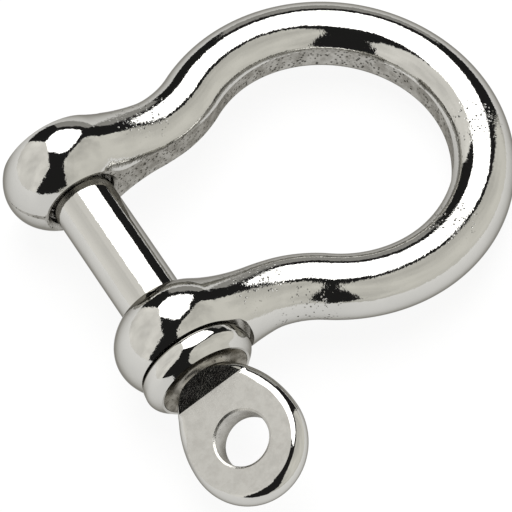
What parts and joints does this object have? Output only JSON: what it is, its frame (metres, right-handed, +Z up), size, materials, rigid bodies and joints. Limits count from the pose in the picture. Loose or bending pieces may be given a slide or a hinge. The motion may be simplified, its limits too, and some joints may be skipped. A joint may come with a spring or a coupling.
{
  "type": "bow shackle",
  "caption": "Lyre-shaped bow shackle with rounded ears and a collared screw pin that ends in a flattened eye, for joining rope, chain or rigging fittings.",
  "frame": {"origin": "centre of the base of the bounding box, with the shackle lying on a surface", "axes": "+Z up, +X from the pin towards the crown of the bow, +Y along the pin towards its threaded tip; the pin's eye points to -Y"},
  "size_m": [0.0754, 0.0756, 0.0197],
  "materials": {
    "bow_steel": "forged stainless steel, mirror polished, with a dull pitted band round the inside of the bow",
    "pin_steel": "stainless steel, polished shank and collar, satin flats on the eye"
  },
  "bodies": {
    "bow": {"bow": "bow_steel"},
    "pin": {"screw_pin": "pin_steel"}
  },
  "joints": [
    {"name": "pin_draw", "type": "slide", "parent": "bow", "child": "pin", "axis": [0, -1, 0], "range_m": [0, 0.044]}
  ]
}
